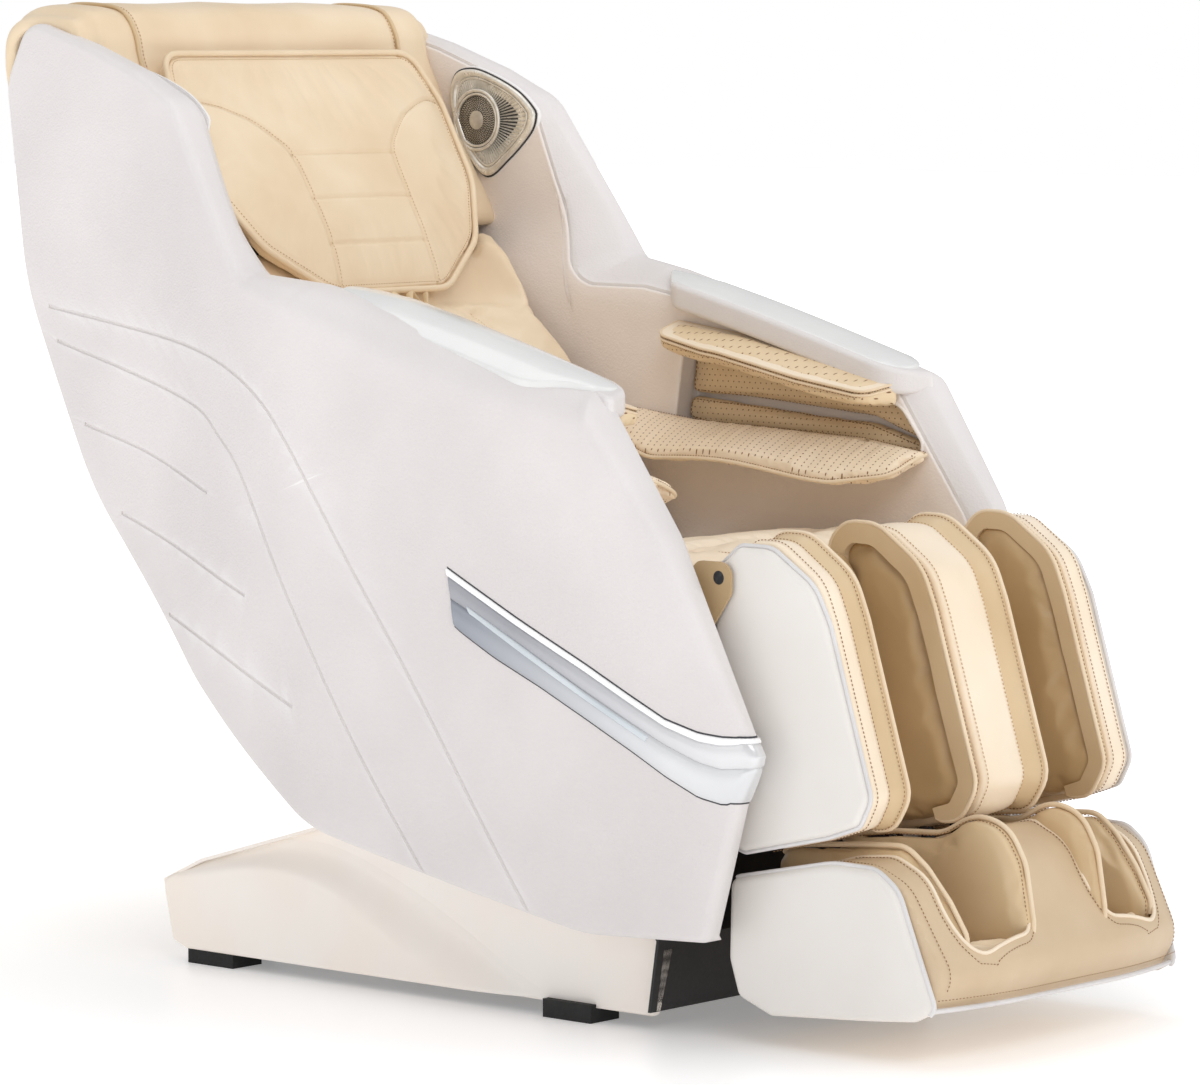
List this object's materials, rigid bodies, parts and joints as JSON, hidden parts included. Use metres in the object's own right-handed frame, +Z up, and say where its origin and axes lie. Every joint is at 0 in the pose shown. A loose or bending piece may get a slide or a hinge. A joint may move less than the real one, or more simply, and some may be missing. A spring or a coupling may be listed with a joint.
{
  "type": "massage chair",
  "caption": "Reclining home massage chair: padded capsule with arm pockets, roller carriage, swinging leg unit and sliding foot unit on a floor base.",
  "frame": {"origin": "on the floor at the middle of the object's box", "axes": "+Z up, the occupant faces -Y, +X is the occupant's left"},
  "size_m": [0.7616, 1.4539, 1.1929],
  "materials": {
    "shell_plastic": "fine pebble-grain moulded plastic, light warm grey",
    "wall_plastic": "fine pebble-grain moulded plastic, slightly darker warm grey",
    "gloss_inset": "smooth glossy greenish white",
    "trim_chrome": "satin silver with a bright edge",
    "light_bar": "translucent diffuser",
    "trim_gloss": "glossy white to silver",
    "speaker_silver": "satin silver with radial ribs",
    "speaker_mesh": "perforated grille",
    "leather_beige": "smooth leatherette with stitched seams",
    "leather_light": "light beige leatherette",
    "leather_tan": "soft wrinkled leatherette",
    "leather_white": "off-white leatherette with piping",
    "leather_perforated": "perforated leatherette",
    "base_plastic": "satin cream moulded plastic",
    "rubber_black": "matte",
    "frame_steel": "black powder coat",
    "bright_steel": "ground steel",
    "nylon": "moulded nylon",
    "roller_rubber": "soft rubber",
    "back_leather": "fine grained leatherette over a moulded panel"
  },
  "bodies": {
    "base": {"base_frame": "frame_steel", "base_cover_left": "base_plastic", "base_cover_right": "base_plastic", "base_cover_rear": "base_plastic", "base_cover_front": "base_plastic", "rubber_feet": "rubber_black", "control_box": "nylon", "power_inlet": "nylon", "air_pump": "nylon"},
    "switch": {"power_switch": "nylon"},
    "wheels": {"transport_wheels": "roller_rubber"},
    "slider": {"slide_frame": "frame_steel", "tilt_pins": "bright_steel"},
    "tilt_cylinder": {"tilt_actuator": "nylon"},
    "tilt_piston": {"tilt_rod": "bright_steel"},
    "capsule": {"seat_frame": "frame_steel", "back_frame": "frame_steel", "guide_rails": "bright_steel", "shell_left": "shell_plastic", "shell_right": "shell_plastic", "inner_wall_left": "wall_plastic", "inner_wall_right": "wall_plastic", "armrest_left": "wall_plastic", "armrest_right": "wall_plastic", "armrest_insets": "gloss_inset", "upper_arm_pads": "leather_perforated", "lower_arm_pads": "leather_perforated", "arm_back_pads": "leather_perforated", "trim_strips": "trim_chrome", "light_bars": "light_bar", "trim_blades": "trim_gloss", "speaker_bezels": "speaker_silver", "speaker_grilles": "speaker_mesh", "seat_cushion": "leather_beige", "back_cushion": "leather_beige", "hood": "leather_beige", "rear_panel": "back_leather"},
    "pillow": {"head_pillow": "leather_beige"},
    "carriage": {"carriage_frame": "bright_steel", "guide_shoes": "nylon", "knead_motor": "nylon"},
    "arm_left": {"roller_arm_left": "nylon"},
    "arm_right": {"roller_arm_right": "nylon"},
    "roller_ul": {"roller_upper_left": "roller_rubber"},
    "roller_ll": {"roller_lower_left": "roller_rubber"},
    "roller_ur": {"roller_upper_right": "roller_rubber"},
    "roller_lr": {"roller_lower_right": "roller_rubber"},
    "leg_cylinder": {"leg_actuator": "nylon"},
    "leg_piston": {"leg_rod": "bright_steel"},
    "legrest": {"leg_frame": "frame_steel", "calf_side_panels": "leather_white", "calf_outer_pads": "leather_light", "calf_divider": "leather_light", "calf_back_pads": "leather_tan"},
    "footrest": {"foot_frame": "bright_steel", "foot_side_panels": "leather_white", "foot_cover": "leather_beige", "foot_pads": "leather_tan"},
    "front_foot_roller": {"foot_roller_front": "nylon"},
    "rear_foot_roller": {"foot_roller_rear": "nylon"}
  },
  "joints": [
    {"name": "capsule_slide", "type": "slide", "parent": "base", "child": "slider", "axis": [0, -1, 0], "range_m": [0, 0.1005]},
    {"name": "capsule_tilt", "type": "hinge", "parent": "slider", "child": "capsule", "pos_m": [0, 0.036, 0.33], "axis": [-1, 0, 0], "range_deg": [0, 30]},
    {"name": "tilt_actuator_pivot", "type": "hinge", "parent": "base", "child": "tilt_cylinder", "pos_m": [0.09, -0.12, 0.1], "axis": [1, 0, 0], "range_deg": [0, 6.81]},
    {"name": "tilt_rod_slide", "type": "slide", "parent": "tilt_cylinder", "child": "tilt_piston", "axis": [0, -0.1088, 0.9941], "range_m": [0, 0.0954]},
    {"name": "legrest_swing", "type": "hinge", "parent": "capsule", "child": "legrest", "pos_m": [0, -0.412, 0.538], "axis": [-1, 0, 0], "range_deg": [0, 75]},
    {"name": "foot_extend", "type": "slide", "parent": "legrest", "child": "footrest", "axis": [0, -0.302, -0.9533], "range_m": [0, 0.1005]},
    {"name": "leg_actuator_pivot", "type": "hinge", "parent": "capsule", "child": "leg_cylinder", "pos_m": [0, -0.1, 0.29], "axis": [-1, 0, 0], "range_deg": [0, 4.68]},
    {"name": "leg_rod_slide", "type": "slide", "parent": "leg_cylinder", "child": "leg_piston", "axis": [0, -0.9396, 0.3422], "range_m": [0, 0.166]},
    {"name": "pillow_flip", "type": "hinge", "parent": "capsule", "child": "pillow", "pos_m": [0, 0.551, 1.1206], "axis": [-1, 0, 0], "range_deg": [0, 70]},
    {"name": "massage_travel", "type": "slide", "parent": "capsule", "child": "carriage", "axis": [0, 0.6157, 0.788], "range_m": [0, 0.3]},
    {"name": "left_arm_swing", "type": "hinge", "parent": "carriage", "child": "arm_left", "pos_m": [0.089, 0.22795, 0.51635], "axis": [1, 0, 0], "range_deg": [-10, 10]},
    {"name": "right_arm_swing", "type": "hinge", "parent": "carriage", "child": "arm_right", "pos_m": [-0.089, 0.22795, 0.51635], "axis": [1, 0, 0], "range_deg": [-10, 10]},
    {"name": "roller_ul_spin", "type": "hinge", "parent": "arm_left", "child": "roller_ul", "pos_m": [0.107, 0.25393, 0.56584], "axis": [1, 0, 0], "continuous": true},
    {"name": "roller_ll_spin", "type": "hinge", "parent": "arm_left", "child": "roller_ll", "pos_m": [0.107, 0.18621, 0.47916], "axis": [1, 0, 0], "continuous": true},
    {"name": "roller_ur_spin", "type": "hinge", "parent": "arm_right", "child": "roller_ur", "pos_m": [-0.107, 0.25393, 0.56584], "axis": [1, 0, 0], "continuous": true},
    {"name": "roller_lr_spin", "type": "hinge", "parent": "arm_right", "child": "roller_lr", "pos_m": [-0.107, 0.18621, 0.47916], "axis": [1, 0, 0], "continuous": true},
    {"name": "front_foot_roller_spin", "type": "hinge", "parent": "footrest", "child": "front_foot_roller", "pos_m": [0, -0.606, 0.084], "axis": [1, 0, 0], "continuous": true},
    {"name": "rear_foot_roller_spin", "type": "hinge", "parent": "footrest", "child": "rear_foot_roller", "pos_m": [0, -0.53, 0.084], "axis": [1, 0, 0], "continuous": true},
    {"name": "wheel_spin", "type": "hinge", "parent": "base", "child": "wheels", "pos_m": [0, 0.432, 0.024], "axis": [1, 0, 0], "continuous": true},
    {"name": "power_switch_rock", "type": "hinge", "parent": "base", "child": "switch", "pos_m": [-0.105, 0.482, 0.066], "axis": [1, 0, 0], "range_deg": [0, 8]}
  ],
  "couplings": [
    {"joint": "capsule_slide", "follows": "capsule_tilt", "m_per_rad": 0.19099},
    {"joint": "tilt_actuator_pivot", "follows": "capsule_tilt", "ratio": 0.22361},
    {"joint": "tilt_rod_slide", "follows": "capsule_tilt", "m_per_rad": 0.18125},
    {"joint": "foot_extend", "follows": "legrest_swing", "m_per_rad": 0.076394},
    {"joint": "leg_actuator_pivot", "follows": "legrest_swing", "ratio": 0.06106},
    {"joint": "leg_rod_slide", "follows": "legrest_swing", "m_per_rad": 0.12641},
    {"joint": "right_arm_swing", "follows": "left_arm_swing", "ratio": -1},
    {"joint": "rear_foot_roller_spin", "follows": "front_foot_roller_spin", "ratio": 1}
  ]
}
